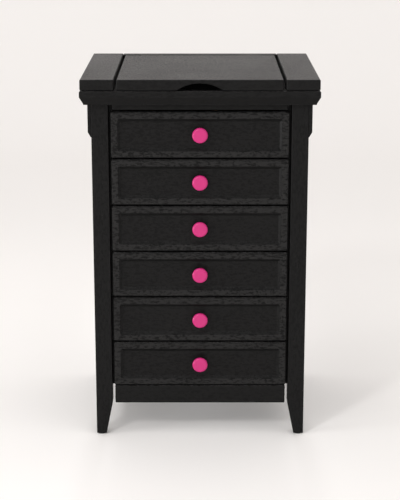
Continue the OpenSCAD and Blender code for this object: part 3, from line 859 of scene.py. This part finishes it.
class ARMOIRE_OT_mirror(bpy.types.Operator):
    """Build the mirror with its bevelled edge and its moulding"""

    bl_idname = "armoire.mirror"
    bl_label = "Mirror"

    def execute(self, context):
        shape = context.scene.armoire_shape
        low, high = corners_of("mirror_frame")
        inner = shape.mirror_border / MM - 3.0
        insets = [0, 0, 0.8, 2.0, 5.5, inner - 1.2, inner - 0.2, inner, inner, inner]
        falls = [0, 5.6, 6.6, 7.2, 8.0, 8.0, 7.4, 6.6, 5.0, 0]
        ring = self.stepped(low, high, insets, falls)
        moulding = new_piece("mirror_moulding", [ring], "lid", painted_wood("x", PLAIN),
                             ["mirror_frame"])
        self.open_middle(moulding, *ring.shape[:2])
        pane = self.stepped(*corners_of("mirror_glass"), [0.4, 0, 0, 6, 6.4], [0, 0.4, 1.6, 3.0, 3.0])
        new_piece("mirror_pane", [pane], "lid", silvered_glass(), ["mirror_glass"], sharp=6)
        return {"FINISHED"}

    @staticmethod
    def stepped(low, high, insets, falls):
        """Rings of a box in plan, at each inset from its sides and fall from its top, in millimetres."""
        corner, insets = 0.4 * MM, np.array(insets) * MM
        loops = [rectangle((low[0] + d, low[1] + d), (high[0] - d, high[1] - d), corner) for d in insets]
        return placed(loops, high[2] - np.array(falls) * MM, "z")

    @staticmethod
    def open_middle(piece, rows, columns):
        """Joins the first ring to the last in place of the two end faces, so that the moulding is a closed ring."""
        mesh = piece.data
        points = np.empty(len(mesh.vertices) * 3)
        mesh.vertices.foreach_get("co", points)
        faces = [list(face.vertices) for face in mesh.polygons if len(face.vertices) == 4]
        last, first = (rows - 1) * columns + np.arange(columns), np.arange(columns)
        wall = np.stack([last, np.roll(last, -1), np.roll(first, -1), first], -1).tolist()
        mesh.clear_geometry()
        mesh.from_pydata(points.reshape(-1, 3).tolist(), [], faces + wall)
        mesh.polygons.foreach_set("use_smooth", np.ones(len(mesh.polygons), bool))
        mesh.set_sharp_from_angle(angle=math.radians(30))
        mesh.update()


class ARMOIRE_OT_tray(bpy.types.Operator):
    """Line the tray under the lid and fill it with dividers and ring rolls"""

    bl_idname = "armoire.tray"
    bl_label = "Tray"

    def execute(self, context):
        shape = context.scene.armoire_shape
        low, high = corners_of("tray_dividers")
        floor_low, floor_high = corners_of("compartment_floor")
        thin, edge, lower, cells = 3 * MM, 1.2 * MM, 0.4 * MM, 3
        front, back = floor_low[1], floor_high[1]
        columns = [low[0], floor_high[0] / 2]
        rows = [front + n * (back - front) / cells for n in range(1, cells)]
        shells = [board((x, front, low[2]), (x + thin, back, high[2]), edge, "y") for x in columns]
        spans = [(columns[0] + thin, columns[1]), (columns[1] + thin, high[0])]
        shells += [board((a, y, low[2]), (b, y + thin, high[2] - lower), edge, "x") for y in rows for a, b in spans]
        new_piece("velvet_dividers", shells, "case", velvet(), ["tray_dividers"])
        self.rolls(shape)
        self.lay("tray_lining", (floor_low[0], low[0] + 0.5 * MM), (front, back), floor_high[2])
        fronts = [front, *(y + thin for y in rows)]
        for column, across in enumerate(spans):
            for row, along in enumerate(zip(fronts, [*rows, back])):
                self.lay(f"cell_lining_{column * cells + row + 1}", across, along, floor_high[2])
        return {"FINISHED"}

    @staticmethod
    def lay(name, across, along, height):
        """A lining on the tray's floor, 1 mm clear of what stands round it."""
        gap, lift, top, radius, crown = np.array([1, 0.05, 0.9, 1.5, 0.1]) * MM
        lining(name, "case", (across[0] + gap, along[0] + gap, height + lift),
               (across[1] - gap, along[1] - gap, height + top), radius, crown)

    @staticmethod
    def rolls(shape):
        """Each ring roll lies in its own share of the tray's depth."""
        low, high = corners_of("ring_rolls")
        radius = (high[2] - low[2]) / 2
        step = (high[1] - low[1] - 2 * radius) / (shape.rolls - 1)
        for number in range(shape.rolls):
            y = low[1] + number * step
            rings = roll_rings((low[0], y, low[2]), (high[0], y + 2 * radius, high[2]), number)
            roll = new_piece(f"ring_roll_{number + 1}", [rings], "case", velvet(), ["ring_rolls"],
                             sharp=60)


class ARMOIRE_OT_finishes(bpy.types.Operator):
    """Give each CAD part that stays in sight its finish"""

    bl_idname = "armoire.finishes"
    bl_label = "Finishes"

    def execute(self, context):
        bronze = metal("dark_bronze", (0.1, 0.085, 0.07), 0.36)
        plastic = moulded("black_plastic", (0.02, 0.02, 0.02), 0.5)
        chosen = {
            "left_partition": painted_wood("z", PLAIN), "right_partition": painted_wood("z", PLAIN),
            "compartment_floor": painted_wood("x", PLAIN), "drawer_runners": lacquered_wood("y"),
            "back_panel": painted_wood("z", PLAIN), "bottom_board": painted_wood("x", PLAIN),
            "floor_glides": plastic, "door_catches": plastic,
            "lid_hinge_leaves": bronze, "lid_hinge_flaps": bronze, "door_hinge_leaves": bronze,
            "left_door_fittings": bronze, "right_door_fittings": bronze,
            "necklace_hooks": metal("polished_brass", (0.78, 0.56, 0.25), 0.14),
        }
        steel = metal("zinc_steel", (0.62, 0.62, 0.6), 0.25)
        for number in range(1, DRAWERS + 1):
            chosen[f"drawer_{number}_box"] = lacquered_wood("y")
            chosen[f"drawer_{number}_screw"] = steel
        for node, material in chosen.items():
            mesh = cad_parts[node].data
            mesh.materials.clear()
            mesh.materials.append(material)
        return {"FINISHED"}


class ARMOIRE_OT_stage(bpy.types.Operator):
    """Set the floor, the light and the camera"""

    bl_idname = "armoire.stage"
    bl_label = "Stage"

    def execute(self, context):
        stage = context.scene.armoire_stage
        self.backdrop(stage)
        self.light(context, stage)
        self.camera(context, stage)
        context.scene.view_settings.view_transform = "Standard"
        return {"FINISHED"}

    @staticmethod
    def backdrop(stage):
        """Floor and wall in one sheet: a profile along Y with a quarter circle between them, drawn out along X."""
        near, wall, tall, bend = -7.0, 4.2, 6.0, 1.6
        angle = np.linspace(-math.pi / 2, 0, 25)
        y = np.concatenate([[near], wall - bend + bend * np.cos(angle), [wall]])
        z = np.concatenate([[0], bend + bend * np.sin(angle), [tall]])
        x = np.array([-7.0, 7.0])
        points = np.stack(np.broadcast_arrays(x[None, :], y[:, None], z[:, None]), -1).reshape(-1, 3)
        row = np.arange(len(y) - 1)[:, None] * 2
        faces = (row + np.array([[0, 1, 3, 2]])).tolist()
        mesh = bpy.data.meshes.new("backdrop")
        mesh.from_pydata(points.tolist(), [], faces)
        mesh.polygons.foreach_set("use_smooth", np.ones(len(faces), bool))
        sheet = bpy.data.objects.new("backdrop", mesh)
        bpy.context.scene.collection.objects.link(sheet)
        s = Shader(bpy.data.materials.new("backdrop_paper"))
        here = s.place()
        # painted shade: the sheet turns 10% darker from 0.3 m to 2 m behind the armoire, standing in for the light
        # falling off on the far floor and wall
        far = s.between(s.part(here, "Y"), 0.3, 2.0)
        share = far * 0.95 + s.noise(here, 1.5, 2) * 0.05
        mesh.materials.append(s.finish(Base_Color=s.blend(share, tuple(stage.floor), darker(stage.floor, 0.9)),
                                       Roughness=0.8, Specular_IOR_Level=0.2))

    @staticmethod
    def lamp(name, place, target, size, power, spread=180):
        data = bpy.data.lights.new(name, "AREA")
        data.shape, data.size, data.energy, data.spread = "DISK", size, power, math.radians(spread)
        lamp = bpy.data.objects.new(name, data)
        lamp.location = place
        lamp.rotation_euler = (Vector(target) - Vector(place)).to_track_quat("-Z", "Y").to_euler()
        bpy.context.scene.collection.objects.link(lamp)

    def light(self, context, stage):
        world = Shader(bpy.data.worlds.new("studio"), "Background")
        context.scene.world = world.finish(Color=(1.0, 0.985, 0.97, 1), Strength=stage.room_light)
        self.lamp("key", place=(-2.0, -3.0, 2.9), target=(0, 0, 0.4), size=0.6, power=stage.key_light)
        self.lamp("left", place=(-2.6, -0.9, 0.4), target=(0, -0.2, 0.4), size=0.7, power=20)
        self.lamp("underside", place=(0, 3.0, 0.55), target=(0, 0.1, 0), size=0.4, power=0.4, spread=12)

    @staticmethod
    def camera(context, stage):
        data = bpy.data.cameras.new("camera")
        data.sensor_width = 36
        data.lens = stage.lens
        data.shift_y = stage.shift
        camera = bpy.data.objects.new("camera", data)
        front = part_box("lid_panel")[0].y
        camera.location = (0, front - stage.camera_distance, stage.camera_height)
        camera.rotation_euler = Euler((math.pi / 2 - stage.camera_pitch, 0, 0))
        context.scene.collection.objects.link(camera)
        context.scene.camera = camera


class ARMOIRE_PT_panel(bpy.types.Panel):
    """Lists the armoire's builders and sizes"""

    bl_label = "Jewelry Armoire"
    bl_space_type = "VIEW_3D"
    bl_region_type = "UI"
    bl_category = "Armoire"

    def draw(self, context):
        for builder in BUILDERS:
            self.layout.operator(builder.bl_idname)
        for group in (context.scene.armoire_shape, context.scene.armoire_finish, context.scene.armoire_stage):
            box = self.layout.box()
            for name in group.__annotations__:
                box.prop(group, name)


GROUPS = {"armoire_shape": ArmoireShape, "armoire_finish": ArmoireFinish, "armoire_stage": ArmoireStage}
BUILDERS = (ARMOIRE_OT_top, ARMOIRE_OT_cornice, ARMOIRE_OT_posts, ARMOIRE_OT_rails, ARMOIRE_OT_drawers,
            ARMOIRE_OT_doors, ARMOIRE_OT_mirror, ARMOIRE_OT_tray, ARMOIRE_OT_finishes, ARMOIRE_OT_stage)


def register():
    for name, group in GROUPS.items():
        bpy.utils.register_class(group)
        setattr(bpy.types.Scene, name, PointerProperty(type=group))
    for made in (*BUILDERS, ARMOIRE_PT_panel):
        bpy.utils.register_class(made)


def unregister():
    for made in reversed((*BUILDERS, ARMOIRE_PT_panel)):
        bpy.utils.unregister_class(made)
    for name, group in GROUPS.items():
        delattr(bpy.types.Scene, name)
        bpy.utils.unregister_class(group)


def main():
    register()
    bpy.ops.armoire.top()
    bpy.ops.armoire.cornice()
    bpy.ops.armoire.posts()
    bpy.ops.armoire.rails()
    bpy.ops.armoire.drawers()
    bpy.ops.armoire.doors()
    bpy.ops.armoire.mirror()
    bpy.ops.armoire.tray()
    bpy.ops.armoire.finishes()
    bpy.ops.armoire.stage()


if __name__ == "__main__":
    main()
